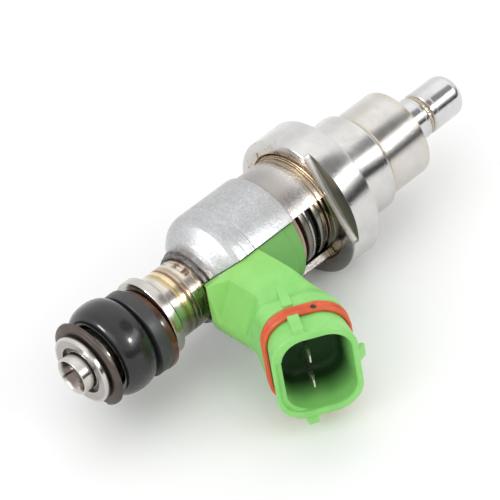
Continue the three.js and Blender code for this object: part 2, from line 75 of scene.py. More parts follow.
def filleted(profile):
    """A closed polyline of (x, r) or (x, r, fillet) with its corners turned into short arcs."""
    points = [(np.array(p[:2], float), p[2] if len(p) > 2 else FILLET) for p in profile]
    count = len(points)
    out = []
    for i, (here, radius) in enumerate(points):
        to_last = points[i - 1][0] - here
        to_next = points[(i + 1) % count][0] - here
        last_len, next_len = np.linalg.norm(to_last), np.linalg.norm(to_next)
        to_last, to_next = to_last / last_len, to_next / next_len
        turn = math.acos(float(np.clip(to_last @ to_next, -1, 1)))
        if radius <= 0 or not math.radians(4) <= turn <= math.radians(176):
            out.append(here)
            continue
        setback = min(radius / math.tan(turn / 2), 0.45 * last_len, 0.45 * next_len)
        radius = setback * math.tan(turn / 2)
        start, end = here + to_last * setback, here + to_next * setback
        middle = to_last + to_next
        centre = here + middle / np.linalg.norm(middle) * (radius / math.sin(turn / 2))
        a, b = start - centre, end - centre
        sweep = math.acos(float(np.clip(a @ b / (radius * radius), -1, 1)))
        for k in range(FILLET_STEPS + 1):
            f = k / FILLET_STEPS
            out.append(centre + (a * math.sin((1 - f) * sweep) + b * math.sin(f * sweep)) / math.sin(sweep))
    return np.array(out)


def unit(vectors):
    return vectors / np.maximum(np.linalg.norm(vectors, axis=1, keepdims=True), 1e-9)


def inset(outline, depth):
    """A closed outline moved inwards along its corners' normals."""
    ahead, behind = np.roll(outline, -1, axis=0) - outline, outline - np.roll(outline, 1, axis=0)
    along = unit(unit(ahead) + unit(behind))
    x, r = outline[:, 0], outline[:, 1]
    area = np.sum(x * np.roll(r, -1) - np.roll(x, -1) * r)
    return outline + np.stack([-along[:, 1], along[:, 0]], 1) * math.copysign(depth, area)


def ring_at(points, turn, shift=(0, 0)):
    """Profile points turned to an angle round the X axis."""
    x, r = points[:, 0], points[:, 1]
    return np.stack([x, -r * np.cos(turn) + shift[0], r * np.sin(turn) + shift[1]], 1)


def swept_faces(rings, count, closed=True):
    """The quads between neighbouring rings of count points each."""
    faces = []
    for i in range(rings if closed else rings - 1):
        j = (i + 1) % rings
        for k in range(count):
            m = (k + 1) % count
            faces.append((i * count + k, i * count + m, j * count + m, j * count + k))
    return faces


def end_caps(rings, count):
    """The first and last ring of an open sweep, as two flat faces."""
    last = (rings - 1) * count
    return [tuple(range(count)), tuple(reversed(range(last, last + count)))]


def mesh_object(name, vertices, faces, sharp=28):
    """A smooth-shaded object from points in millimetres, sharp at edges that turn by over sharp degrees."""
    name = name.replace(" ", "-")
    mesh = bpy.data.meshes.new(name)
    mesh.from_pydata([tuple(v) for v in np.asarray(vertices) * MM], [], faces)
    made = bmesh.new()
    made.from_mesh(mesh)
    bmesh.ops.remove_doubles(made, verts=made.verts, dist=1e-7)
    bmesh.ops.recalc_face_normals(made, faces=made.faces)
    made.to_mesh(mesh)
    made.free()
    mesh.polygons.foreach_set("use_smooth", [True] * len(mesh.polygons))
    mesh.set_sharp_from_angle(angle=math.radians(sharp))
    piece = bpy.data.objects.new(name, mesh)
    bpy.context.scene.collection.objects.link(piece)
    return piece


def turned(name, profile, steps=RING_STEPS, shift=(0, 0), change=None, raw=False, sharp=28):
    """A closed (x, r) profile swept right round the X axis. change alters (points, angle) of each ring."""
    outline = np.array(profile, float)[:, :2] if raw else filleted(profile)
    rings = []
    for angle in np.linspace(0, 2 * np.pi, steps, endpoint=False):
        points = outline if change is None else change(outline.copy(), angle)
        rings.append(ring_at(points, angle, shift))
    return mesh_object(name, np.concatenate(rings), swept_faces(steps, len(outline)), sharp)


def part_turned(name, profile, start, end, edge=0.1, ragged=None, change=None):
    """A profile swept between two angles in degrees, with softened ends. Angle 0 faces the connector."""
    outline = filleted(profile)
    angles = list(np.radians(np.linspace(start, end, RING_STEPS)))
    slack = edge / outline[:, 1].mean()
    first, last = angles[0], angles[-1]
    softened = []
    for k in range(3):
        turn = math.pi / 2 * k / 3
        softened.append((slack * (1 - math.cos(math.pi / 2 - turn)), edge * (1 - math.sin(turn))))
    plan = [(first + away, depth) for away, depth in softened]
    plan += [(first + slack, 0.0)]
    plan += [(a, 0.0) for a in angles if first + slack < a < last - slack]
    plan += [(last - slack, 0.0)]
    plan += [(last - away, depth) for away, depth in reversed(softened)]
    rings = []
    for angle, depth in plan:
        points = inset(outline, depth) if depth > 0 else outline.copy()
        if change is not None:
            points = change(points, angle)
        rings.append(ring_at(points, angle if ragged is None else angle + ragged(points, angle)))
    count = len(outline)
    faces = swept_faces(len(rings), count, closed=False) + end_caps(len(rings), count)
    return mesh_object(name, np.concatenate(rings), faces)


def kept(piece, node):
    """Puts a detailed piece in place of the CAD node of that name: parents it to the body, hides the node and
    gives the piece the node's look.
    """
    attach(piece, BODY)
    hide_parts(node)
    piece.data.materials.append(LOOKS[node])


# ---- procedural looks ----------------------------------------
class Nodes:
    """A node tree, with short calls for the nodes used below."""

    def __init__(self, tree):
        self.tree = tree

    def node(self, kind, **settings):
        made = self.tree.nodes.new(kind)
        for key, value in settings.items():
            setattr(made, key, value)
        return made

    def put(self, socket, value):
        """Links a node's output to a socket, or sets a constant on it."""
        if isinstance(value, bpy.types.NodeSocket):
            self.tree.links.new(value, socket)
        elif value is not None:
            socket.default_value = value

    def math(self, operation, a, b=None, c=None):
        made = self.node("ShaderNodeMath", operation=operation)
        for socket, value in zip(made.inputs, (a, b, c)):
            self.put(socket, value)
        return made.outputs[0]

    def times(self, a, b):
        return self.math("MULTIPLY", a, b)

    def plus(self, a, b):
        return self.math("ADD", a, b)

    def minus(self, a, b):
        return self.math("SUBTRACT", a, b)

    def limits(self, value, low, high, to_low=0.0, to_high=1.0, smooth=False):
        """Maps low..high to to_low..to_high, clamped at both ends."""
        made = self.node("ShaderNodeMapRange", interpolation_type="SMOOTHSTEP" if smooth else "LINEAR")
        self.put(made.inputs["Value"], value)
        for socket, number in zip(("From Min", "From Max", "To Min", "To Max"), (low, high, to_low, to_high)):
            made.inputs[socket].default_value = number
        return made.outputs[0]


class Look(Nodes):
    """One procedural material: a Principled shader, and the shade and roughness that feed it.

    point, x, y, z, r (from the axis) and angle (round it) are object coordinates in millimetres.
    """

    def __init__(self, name, **constants):
        self.material = bpy.data.materials.new(name)
        self.material.use_nodes = True
        super().__init__(self.material.node_tree)
        self.shader = next(n for n in self.tree.nodes if n.type == "BSDF_PRINCIPLED")
        for socket, value in constants.items():
            self.shader.inputs[socket.replace("_", " ")].default_value = value
        scaled = self.node("ShaderNodeVectorMath", operation="SCALE")
        self.put(scaled.inputs[0], self.node("ShaderNodeTexCoord").outputs["Object"])
        scaled.inputs["Scale"].default_value = 1 / MM
        self.point = scaled.outputs[0]
        apart = self.node("ShaderNodeSeparateXYZ")
        self.put(apart.inputs[0], self.point)
        self.x, self.y, self.z = apart.outputs
        self.r = self.math("SQRT", self.plus(self.times(self.y, self.y), self.times(self.z, self.z)))
        self.angle = self.math("ARCTAN2", self.z, self.times(self.y, -1.0))

    def noise(self, scale, detail=3.0, rough=0.55, vector=None):
        """Noise with about scale features in a millimetre."""
        made = self.node("ShaderNodeTexNoise")
        self.put(made.inputs["Vector"], vector or self.point)
        for socket, number in zip(("Scale", "Detail", "Roughness"), (scale, detail, rough)):
            made.inputs[socket].default_value = number
        return made.outputs[0]

    def lathe_lines(self, scale, across=0.25):
        """Fine rings left by turning: the noise changes fast along the axis and radius, slowly round it."""
        made = self.node("ShaderNodeCombineXYZ")
        for socket, value in zip(made.inputs, (self.x, self.r, self.times(self.angle, across / scale))):
            self.put(socket, value)
        return self.noise(scale, 2.0, 0.6, made.outputs[0])

    def wandering_x(self, scale):
        """The place along the axis, pushed a little to and fro."""
        return self.plus(self.x, self.times(self.minus(self.noise(scale, 2.0), 0.5), 0.5))

    def band(self, value, centre, half, soft):
        """1 where value is within half of centre, falling to 0 over soft."""
        away = self.math("ABSOLUTE", self.minus(value, centre))
        return self.limits(away, half, half + soft, 1.0, 0.0, smooth=True)

    def mix(self, share, a, b):
        made = self.node("ShaderNodeMix", data_type="RGBA")
        self.put(made.inputs[0], share)
        for socket, value in ((made.inputs[6], a), (made.inputs[7], b)):
            self.put(socket, (*value, 1.0) if isinstance(value, tuple) else value)
        return made.outputs[2]

    def cloudy(self, scale, low, high, a, b, detail=3.0, rough=0.5):
        """Starts the shade as clouds of two colours."""
        self.shade = self.mix(self.limits(self.noise(scale, detail, rough), low, high), a, b)

    def stain(self, share, colour, strength=None):
        """Lays a colour over the shade."""
        share = share if strength is None else self.times(share, strength)
        self.shade = self.mix(share, self.shade, colour)

    def roughen(self, share, amount):
        self.roughness = self.plus(self.roughness, self.times(share, amount))

    def uneven_gloss(self, scale, low, high, detail=3.0):
        """Starts the roughness as soft patches between two values."""
        self.roughness = self.limits(self.noise(scale, detail), 0.3, 0.7, low, high)

    def ramp(self, value, stops):
        """A colour ramp over (position, colour) stops, whose positions are in value's own units."""
        low, high = stops[0][0], stops[-1][0]
        made = self.node("ShaderNodeValToRGB")
        self.put(made.inputs[0], self.limits(value, low, high))
        elements = made.color_ramp.elements
        while len(elements) < len(stops):
            elements.new(0.5)
        for element, (position, colour) in zip(elements, stops):
            element.position = (position - low) / (high - low)
            element.color = (*colour, 1.0)
        return made.outputs[0]

    def bump(self, *layers):
        """Stacks (height, strength, distance in mm) layers of relief."""
        normal = None
        for height, strength, distance in layers:
            made = self.node("ShaderNodeBump")
            made.inputs["Strength"].default_value = strength
            made.inputs["Distance"].default_value = distance * MM
            self.put(made.inputs["Height"], height)
            self.put(made.inputs["Normal"], normal)
            normal = made.outputs[0]
        self.put(self.shader.inputs["Normal"], normal)

    def finish(self):
        self.put(self.shader.inputs["Base Color"], self.shade)
        self.put(self.shader.inputs["Roughness"], self.roughness)
        return self.material


def steel(
    name, colour, rough, lines=6.0, line_depth=0.12, grain=0.15, tint=None, tint_share=0.35, dirt=0.25,
    marks=None,
):
    """Turned or drawn steel: lathe rings, grain, cloudy tint, a little dirt. marks adds what is local."""
    look = Look(name, Metallic=1.0)
    plain, pale, stained = (tuple(min(c * share, 1) for c in colour) for share in (0.9, 1.06, 0.55))
    fine = look.noise(1.6, 4.0, 0.65)
    rings = look.lathe_lines(lines)
    look.cloudy(0.22, 0.3, 0.7, plain, pale, 4.0, 0.6)
    if tint is not None:
        look.stain(look.limits(look.noise(0.35, 3.0, 0.6), 0.42, 0.72), tint, tint_share)
    look.stain(look.limits(fine, 0.56, 0.78), stained, dirt)
    uneven = look.limits(fine, 0.3, 0.75, rough * 0.8, rough * 1.25)
    look.roughness = look.plus(uneven, look.limits(rings, 0.3, 0.7, -0.03, 0.04))
    if marks is not None:
        marks(look)
    look.bump(
        (rings, line_depth, 0.05), (look.noise(7.0, 2.0, 0.5), grain, 0.04),
        (look.noise(2.6, 3.0, 0.6), grain, 0.03), (look.noise(0.9, 3.0), 0.05, 0.2),
    )
    return look.finish()


def cap_marks(look):
    """Brownish duller face on the disc, painted shade in the groove round the nose, and painted shade in the
    bore.
    """
    face = look.band(look.r, 5.0, 0.55, 0.3)
    look.stain(face, (0.29, 0.265, 0.255), 0.6)
    # Painted shade: the floor of the groove round the nose is darkened almost to black.
    groove = look.band(look.r, 3.88, 0.42, 0.06)
    look.stain(look.times(groove, look.limits(look.x, -56.25, -56.05)), (0.06, 0.05, 0.045))
    # Painted shade inside the bore, heavier towards +Y.
    bore = look.limits(look.r, 2.95, 2.7)
    look.stain(look.times(bore, look.limits(look.y, -0.8, 1.2, 0.2, 0.92)), (0.16, 0.13, 0.11))
    look.roughen(face, 0.14)


def pipe_heat(look):
    """Straw and bronze bands beside the weld, painted shade on the underside, with burnt spots next to the
    shell's neck.
    """
    bands = look.ramp(
        look.wandering_x(0.5),
        [
            (-38.2, (0.7, 0.67, 0.6)), (-37.7, (0.58, 0.47, 0.32)), (-37.1, (0.5, 0.38, 0.19)),
            (-36.8, (0.84, 0.7, 0.44)), (-36.35, (0.74, 0.58, 0.4)), (-36.0, (0.27, 0.18, 0.1)),
            (-35.7, (0.26, 0.18, 0.11)), (-35.45, (0.58, 0.46, 0.35)), (-35.0, (0.38, 0.31, 0.24)),
            (-34.4, (0.7, 0.65, 0.57)), (-33.7, (0.7, 0.63, 0.52)), (-32.2, (0.46, 0.38, 0.3)),
            (-31.75, (0.1, 0.07, 0.05)),
        ],
    )
    look.stain(look.limits(look.x, -39.0, -38.0), bands)
    # Painted shade: the pipe's lower side by the collar is darkened.
    share = look.limits(look.x, -40.0, -37.5, 0.3, 0.8)
    look.stain(look.times(look.limits(look.z, 4.2, 0.5), share), (0.1, 0.088, 0.078))
    spots = look.limits(look.noise(0.6, 3.0, 0.65), 0.47, 0.6)
    burnt = look.times(spots, look.band(look.x, -33.1, 0.6, 0.7))
    look.stain(burnt, (0.16, 0.1, 0.06))
    look.roughen(burnt, 0.2)


def shell_marks(look):
    """Scorched neck with a black crevice, a blotchy pitted wall, and a warmer end by the sleeve."""
    neck = look.limits(look.x, -31.2, -29.6, 1.0, 0.0, smooth=True)
    patches = look.times(look.limits(look.noise(0.42, 4.0, 0.7), 0.4, 0.52), neck)
    look.stain(patches, (0.1, 0.07, 0.05), 0.9)
    look.stain(neck, (0.38, 0.33, 0.29), 0.4)
    look.stain(look.limits(look.x, -31.3, -31.2, 0.9, 0.0), (0.05, 0.035, 0.028))
    look.stain(look.limits(look.noise(0.7, 4.0, 0.7), 0.42, 0.62, 0.0, 0.3), (0.4, 0.41, 0.42))
    pores = look.limits(look.noise(2.4, 4.0, 0.7), 0.36, 0.64, 0.45, 0.0)
    look.stain(pores, (0.3, 0.3, 0.305))
    look.roughen(pores, 0.12)
    look.stain(look.limits(look.x, -15.6, -14.3), (0.47, 0.45, 0.42), 0.35)


def sleeve_marks(look):
    """Grey by the shell, bright in the middle, golden and brown lines at the weld, rust in between."""
    bands = look.ramp(
        look.wandering_x(0.6),
        [
            (-14.3, (0.3, 0.27, 0.25)), (-13.6, (0.37, 0.345, 0.33)), (-11.6, (0.4, 0.375, 0.36)),
            (-10.4, (0.48, 0.455, 0.44)), (-9.2, (0.64, 0.61, 0.58)), (-8.5, (0.48, 0.42, 0.36)),
            (-8.0, (0.27, 0.22, 0.16)), (-7.5, (0.6, 0.5, 0.38)), (-7.05, (0.16, 0.1, 0.06)),
            (-6.85, (0.6, 0.46, 0.28)), (-6.6, (0.14, 0.09, 0.05)), (-6.4, (0.38, 0.28, 0.17)),
        ],
    )
    look.stain(0.85, bands)
    rust = look.limits(look.noise(0.9, 3.0, 0.6), 0.6, 0.7)
    look.stain(look.times(rust, look.band(look.x, -9.5, 2.0, 1.5)), (0.62, 0.36, 0.28), 0.5)


def flange_marks(look):
    """Weld colours round the sleeve, painted shade on the low side of the front face, a dull locating flat,
    and dark specks by the weld.
    """
    face = look.limits(look.x, -6.1, -6.4, smooth=True)
    rings = look.ramp(
        look.r,
        [
            (8.4, (0.3, 0.22, 0.14)), (9.8, (0.14, 0.1, 0.07)), (10.2, (0.34, 0.24, 0.14)),
            (10.45, (0.78, 0.66, 0.46)), (10.9, (0.56, 0.47, 0.39)), (11.9, (0.6, 0.55, 0.51)),
            (13.0, (0.66, 0.64, 0.62)),
        ],
    )
    look.stain(look.times(face, look.limits(look.r, 10.4, 11.6, 0.9, 0.25)), rings)
    # Painted shade: the lower part of the front face is darkened.
    look.stain(look.times(face, look.limits(look.z, 1.5, -3.5, 0.0, 0.85)), (0.17, 0.16, 0.155))
    out_y = look.times(look.y, -math.cos(FLAT_LEAN))
    outwards = look.math("MULTIPLY_ADD", look.z, math.sin(FLAT_LEAN), out_y)
    flat = look.times(look.limits(outwards, 9.72, 9.8), look.limits(look.x, -5.15, -5.21))
    look.stain(flat, (0.28, 0.26, 0.235), 0.9)
    look.roughen(flat, 0.25)
    specks = look.times(look.limits(look.noise(1.3, 3.0, 0.6), 0.6, 0.66), face)
    specks = look.times(specks, look.limits(look.r, 10.4, 12.4, 1.0, 0.2))
    look.stain(specks, (0.13, 0.07, 0.05))
    look.roughen(specks, 0.25)


def holder_marks(look):
    """Warm tint towards both edges."""
    edge = look.math("MAXIMUM", look.band(look.x, 8.6, 0.3, 1.2), look.band(look.x, 17.8, 0.4, 1.4))
    look.stain(edge, (0.6, 0.51, 0.37), 0.4)


def tube_marks(look):
    """Straw tint beside the tip's weld bead."""
    look.stain(look.band(look.x, 23.2, 0.5, 0.9), (0.55, 0.48, 0.38), 0.4)


def plastic(name, colour, dark, rough, grain=0.08, coarse=0.35):
    """Moulded plastic: slight unevenness in colour and gloss, and a fine moulded grain."""
    look = Look(name, IOR=1.5)
    look.cloudy(coarse, 0.3, 0.75, colour, dark)
    look.uneven_gloss(1.2, rough * 0.85, rough * 1.2)
    look.bump((look.noise(5.0, 3.0), grain, 0.05), (look.noise(0.5, 2.0), grain * 0.6, 0.3))
    return look.finish()


def rubber(name, colour, rough, oil=0.0):
    """Black rubber with a little dust, and a film of oil where oil is above 0."""
    look = Look(name, IOR=1.4, Specular_IOR_Level=0.4, Coat_Weight=oil, Coat_Roughness=0.1)
    look.cloudy(0.5, 0.3, 0.7, colour, tuple(c * 1.35 for c in colour))
    look.stain(look.limits(look.noise(2.5, 4.0, 0.7), 0.6, 0.75, 0.0, 0.12), (0.25, 0.24, 0.22))
    look.uneven_gloss(1.5, rough * 0.8, rough * 1.2)
    look.bump((look.noise(3.5, 3.0), 0.08, 0.05))
    return look.finish()


# ---- surfaces skinned over a field ----------------------------------------
def skinned(name, field, low, high, cell):
    """The zero level of a field, as a mesh: surface nets, with each point then pulled onto the level."""
    axes = [np.arange(a, b + cell, cell) for a, b in zip(low, high)]
    values = field(axes[0][:, None, None], axes[1][None, :, None], axes[2][None, None, :]).astype(np.float32)
    inside = values < 0
    corners = np.lib.stride_tricks.sliding_window_view(inside, (2, 2, 2)).sum((3, 4, 5))
    cells = np.argwhere((corners > 0) & (corners < 8))
    number = -np.ones(corners.shape, np.int64)
    number[tuple(cells.T)] = np.arange(len(cells))
    total, hits = np.zeros((len(cells), 3)), np.zeros(len(cells))
    faces = []
    for axis in range(3):
        for aside in itertools.product((0, 1), repeat=2):
            a = cells + np.insert(aside, axis, 0)
            b = a + np.eye(3, dtype=int)[axis]
            va, vb = values[tuple(a.T)], values[tuple(b.T)]
            cross = (va < 0) != (vb < 0)
            point = a.astype(float)
            point[:, axis] += np.where(cross, va / np.where(cross, va - vb, 1), 0)
            total[cross] += point[cross]
            hits[cross] += 1
        u, v = [a for a in range(3) if a != axis]
        edges = np.argwhere(np.diff(inside, axis=axis))
        edges = edges[(edges[:, u] > 0) & (edges[:, v] > 0)]
        edges = edges[(edges[:, u] < number.shape[u]) & (edges[:, v] < number.shape[v])]
        back = [np.insert(step, axis, 0) for step in ((0, 0), (1, 0), (1, 1), (0, 1))]
        faces.append(np.stack([number[tuple((edges - step).T)] for step in back], 1))
    points = total / hits[:, None]
    faces = np.concatenate(faces)
    faces = faces[(faces >= 0).all(1)]

    def sample(grid, at):
        """Trilinear value between the grid's points."""
        base = np.clip(np.floor(at).astype(int), 0, np.array(grid.shape) - 2)
        f = at - base
        out = 0
        for corner in itertools.product((0, 1), repeat=3):
            out = out + np.where(corner, f, 1 - f).prod(1) * grid[tuple((base + corner).T)]
        return out

    slopes = np.gradient(values)
    links = np.concatenate([faces[:, [0, 1]], faces[:, [1, 2]], faces[:, [2, 3]], faces[:, [3, 0]]])
    links = np.concatenate([links, links[:, ::-1]])
    degree = np.bincount(links[:, 0], minlength=len(points)).astype(float)
    for _ in range(4):
        mean = np.stack([np.bincount(links[:, 0], points[links[:, 1], a], len(points)) for a in range(3)], 1)
        points = 0.5 * points + 0.5 * mean / degree[:, None]
        for _ in range(2):
            value = sample(values, points)
            slope = np.stack([sample(s, points) for s in slopes], 1)
            step = value / np.maximum((slope**2).sum(1), 0.05 * cell * cell)
            points -= np.clip(step, -0.5 / cell, 0.5 / cell)[:, None] * slope
    return mesh_object(name, np.array(low) + points * cell, faces.tolist(), sharp=50)


def smooth_max(a, b, radius):
    """The larger of two fields, with their edge rounded off."""
    u, v = np.maximum(a + radius, 0), np.maximum(b + radius, 0)
    return np.minimum(np.maximum(a, b), -radius) + np.sqrt(u * u + v * v)


def smooth_min(a, b, radius):
    """The smaller of two fields, with the corner between them filled."""
    return -smooth_max(-a, -b, radius)


def rounded_box(u, v, left, right, half, radius):
    """Signed distance to a rounded rectangle."""
    qu = np.abs(u - (left + right) / 2) - (right - left) / 2 + radius
    qv = np.abs(v) - half + radius
    outside = np.sqrt(np.maximum(qu, 0) ** 2 + np.maximum(qv, 0) ** 2)
    return outside + np.minimum(np.maximum(qu, qv), 0) - radius


def box_field(u, v, w, low, high):
    """Inside a box where negative."""
    ends = [np.maximum(a - s, s - b) for s, a, b in zip((u, v, w), low, high)]
    return np.maximum(np.maximum(ends[0], ends[1]), ends[2])


def eased(points, times=3):
    """Chaikin's corner cutting on an open polyline, for a curve without kinks."""
    points = [np.array(p, float) for p in points]
    for _ in range(times):
        cut = [points[0]]
        for a, b in zip(points, points[1:]):
            cut += [0.75 * a + 0.25 * b, 0.25 * a + 0.75 * b]
        points = cut + [points[-1]]
    return points


def side_distance(x, y, line, sign):
    """Distance to an open polyline in plan, positive on the side that sign picks."""
    best = np.full(np.broadcast(x, y).shape, 1e9)
    signed = np.zeros_like(best)
    last = len(line) - 2
    for i, (a, b) in enumerate(zip(line, line[1:])):
        d = b - a
        share = ((x - a[0]) * d[0] + (y - a[1]) * d[1]) / (d @ d)
        share = np.clip(share, -1e9 if i == 0 else 0, 1e9 if i == last else 1)
        dx, dy = x - (a[0] + share * d[0]), y - (a[1] + share * d[1])
        far = np.hypot(dx, dy)
        cross = sign * (d[0] * (y - a[1]) - d[1] * (x - a[0])) / np.linalg.norm(d)
        nearer = far < best - 1e-9
        best = np.where(nearer, far, best)
        signed = np.where(nearer, np.where(cross > 0, far, -far), signed)
    return signed


# ---- connector ----------------------------------------
TILT = math.radians(31)
ACROSS = np.array([math.cos(TILT), -math.sin(TILT)])
OUT = np.array([-math.sin(TILT), -math.cos(TILT)])
MOUTH = np.array([-33.5, -31.6])
SEAL_DEPTH = 4.5  # depths run inwards from the mouth
SHOULDER_DEPTH = 6.9
SHROUD_MOUTH = (-7.3, 7.0)  # left and right sides, measured across
SHROUD_SEAL = (-6.8, 6.4)
SHROUD_HALF = 8.8
SHROUD_CORNER = 5.0
CAVITY_DEPTH = 9.0
CAVITY_LEFT, CAVITY_RIGHT, CAVITY_HALF, CAVITY_CORNER = -5.55, 5.9, 7.5, 4.0
RIM_STEP = (0.9, 0.8, 4.1)  # width, depth and top of the step in the rim, on the inlet side
ROOT_INLET, ROOT_NOZZLE, ROOT_HALF = -34.4, -22.5, 6.35
BLADE_SHIFT, BLADE_PITCH, BLADE_DROP = -0.8, 5.4, -0.4


def at_depth(depth, across=0.0):
    """The point in plan that lies depth inside the socket's mouth, and across from its middle."""
    return MOUTH - OUT * depth + ACROSS * across


def socket_place(x, y):
    """(across, depth) of a point in plan, in the socket's own directions."""
    dx, dy = x - MOUTH[0], y - MOUTH[1]
    return dx * ACROSS[0] + dy * ACROSS[1], -(dx * OUT[0] + dy * OUT[1])


def arm_field(x, y, z):
    """Arm with a ridge on the nozzle side and a long facet on the inlet side, swelling into the shoulder."""
    elbow = np.array([-28.55, -19.4])
    elbow_across = np.array([0.951, -0.31])
    stations = [
        (np.array([-28.45, -3.0]), np.array([0.0, -1.0]), ROOT_HALF, 0.0),
        (np.array([-28.45, -15.0]), np.array([0.0, -1.0]), ROOT_HALF, 0.0),
        (elbow, np.array([elbow_across[1], -elbow_across[0]]), ROOT_HALF + 0.5, 0.35),
        (at_depth(SHOULDER_DEPTH + 1.6), OUT, 9.15, 1.0), (at_depth(SHOULDER_DEPTH), OUT, 9.2, 1.0),
    ]

    def side_line(root, bulge, across):
        """Plan of one side of the arm, from its root past the elbow to the shroud."""
        shroud = [at_depth(depth, across) for depth in (8.5, SHOULDER_DEPTH, 2)]
        return eased([(root, -2), (root, -15.5), elbow + elbow_across * bulge, *shroud])

    nozzle = side_distance(x, y, side_line(ROOT_NOZZLE, 5.95, 6.9), 1)
    inlet = side_distance(x, y, side_line(ROOT_INLET, -6.15, -7.4), -1)
    flat = np.zeros(np.broadcast(x, y).shape)
    ahead = [(x - c[0]) * n[0] + (y - c[1]) * n[1] + flat for c, n, _, _ in stations]
    half, swell = flat + ROOT_HALF, flat
    for i in range(len(stations) - 1):
        share = np.clip(ahead[i] / np.maximum(ahead[i] - ahead[i + 1], 1e-6), 0, 1)
        share = share * share * (3 - 2 * share)
        here = ahead[i] >= 0
        half = np.where(here, stations[i][2] + (stations[i + 1][2] - stations[i][2]) * share, half)
        swell = np.where(here, stations[i][3] + (stations[i + 1][3] - stations[i][3]) * share, swell)
    top = np.abs(z) - half
    side_radius = 0.35 + 4.9 * swell
    body = smooth_max(nozzle + 0 * z, top, side_radius)
    low_radius = np.where(z < 0, 5.7, 0.5)
    inlet_radius = low_radius + (5.2 - low_radius) * swell
    body = np.maximum(body, smooth_max(inlet + 0 * z, top, inlet_radius))
    legs = (3.8, 7.6)
    run_out = np.clip((-7.8 - y) / 2.0, 0, 1) + flat
    facet = legs[1] * inlet + legs[0] * (z - half) + legs[0] * legs[1] * run_out * (1 - swell)
    facet = facet / math.hypot(*legs)
    facet = np.where(run_out > 0, facet, -5 + 0 * facet)
    body = smooth_max(body, facet, 0.3)
    ends = np.maximum(-ahead[0], ahead[-1])
    return smooth_max(body, ends + 0 * z, 0.3)


def socket_hollow(across, depth, z):
    """Drafted hollow for the plug, with a shallow step in the rim."""
    draft = np.clip((depth - 2.5) / 6.5, 0, 1)
    left, right = CAVITY_LEFT + 0.3 * draft, CAVITY_RIGHT - 0.9 * draft
    hollow = rounded_box(across, z, left, right, CAVITY_HALF - 0.7 * draft, CAVITY_CORNER - 0.6 * draft)
    hollow = smooth_max(hollow, depth - CAVITY_DEPTH + 0 * z, 0.9)
    width, drop, top = RIM_STEP
    step = rounded_box(across, z, CAVITY_LEFT - width, CAVITY_RIGHT, CAVITY_HALF, CAVITY_CORNER)
    step = np.maximum(np.maximum(step, z - top), depth - drop)
    return np.minimum(hollow, step)


def ribs_and_catch(across, depth, z):
    """Guide ribs above and below the shroud, a rib behind the seal, and the ramped catch for the latch."""
    ribs = [
        box_field(across, z, depth, (-3.05, 8.0, 0.3), (-1.0, 9.9, SEAL_DEPTH - 0.1)),
        box_field(across, z, depth, (-3.05, 6.0, SHOULDER_DEPTH), (-1.2, 9.65, SHOULDER_DEPTH + 5.0)),
        box_field(across, z, depth, (-3.0, -10.65, 0.3), (-1.0, -8.0, SEAL_DEPTH - 0.1)),
    ]
    catch = box_field(across, z, depth, (6.0, -1.1, 1.2), (8.4, 1.3, 3.4))
    ramp = (across - 8.4) * 0.707 + (2.6 - depth) * 0.707
    return [*ribs, np.maximum(catch, ramp + 0 * z)]


def connector_field(x, y, z):
    """The whole moulding: arm, pad in the shell's slot, shroud, ribs and catch, less socket and bore."""
    across, depth = socket_place(x, y)
    r = np.sqrt(y * y + z * z) + 0 * x
    rise = np.arctan2(z + 0 * x, -y + 0 * x)
    lean = np.clip(depth / SEAL_DEPTH, 0, 1)
    left, right = SHROUD_MOUTH[0] + 0.5 * lean, SHROUD_MOUTH[1] - 0.6 * lean
    shroud = rounded_box(across, z, left, right, SHROUD_HALF, SHROUD_CORNER)
    shroud = smooth_max(shroud, np.maximum(-depth, depth - 9.5) + 0 * z, 0.35)
    slot_angle = math.radians(38.5)
    in_wedge = r * np.sin(np.abs(rise) - slot_angle)
    shell_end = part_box("solenoid_shell")[1].x / MM + 0.1
    envelope = np.maximum(np.maximum(r - 10.65, -in_wedge), x - shell_end)
    arm = np.maximum(arm_field(x, y, z), -envelope)
    beside_pipe = np.maximum(x + 32.6, -7.7 - y) + 0 * z
    arm = smooth_max(arm, -beside_pipe, 0.2)
    pad_r = np.where(x > -16.6, 9.82, 10.0)
    pad_ends = np.maximum(-29.0 - x, x - (shell_end - 0.2)) + 0 * r
    pad = smooth_max(np.maximum(r - pad_r, in_wedge), pad_ends, 0.15)
    body = smooth_min(arm, pad, 0.12)
    body = smooth_min(body, shroud, 0.3)
    for rib in ribs_and_catch(across, depth, z):
        body = smooth_min(body, rib + 0.08, 0.22)
    body = smooth_max(body, -socket_hollow(across, depth, z), 0.4)
    bore = np.where(x < -28.4, 6.3, np.where(x > -27.6, 8.9, 6.3 + (x + 28.4) * 3.25))
    return np.maximum(body, bore - r) + 0 * (x + y + z)


def ring_round_socket(name, section, steps=28):
    """A closed (offset, depth) section swept round the shroud's rounded outline under the seal."""
    section = filleted(section)
    (left, right), radius = SHROUD_SEAL, SHROUD_CORNER
    high = SHROUD_HALF - radius
    corners = ((right - radius, high), (left + radius, high), (left + radius, -high), (right - radius, -high))
    outline = []
    for corner, centre in enumerate(corners):
        for step in range(steps + 1):
            turn = math.pi / 2 * (corner + step / steps)
            outline.append((centre, math.cos(turn), math.sin(turn)))
    vertices = []
    for (cx, cz), nx, nz in outline:
        for offset, depth in section:
            x, y = at_depth(depth, cx + nx * (radius + offset))
            vertices.append((x, y, cz + nz * (radius + offset)))
    return mesh_object(name, vertices, swept_faces(len(outline), len(section)), sharp=40)


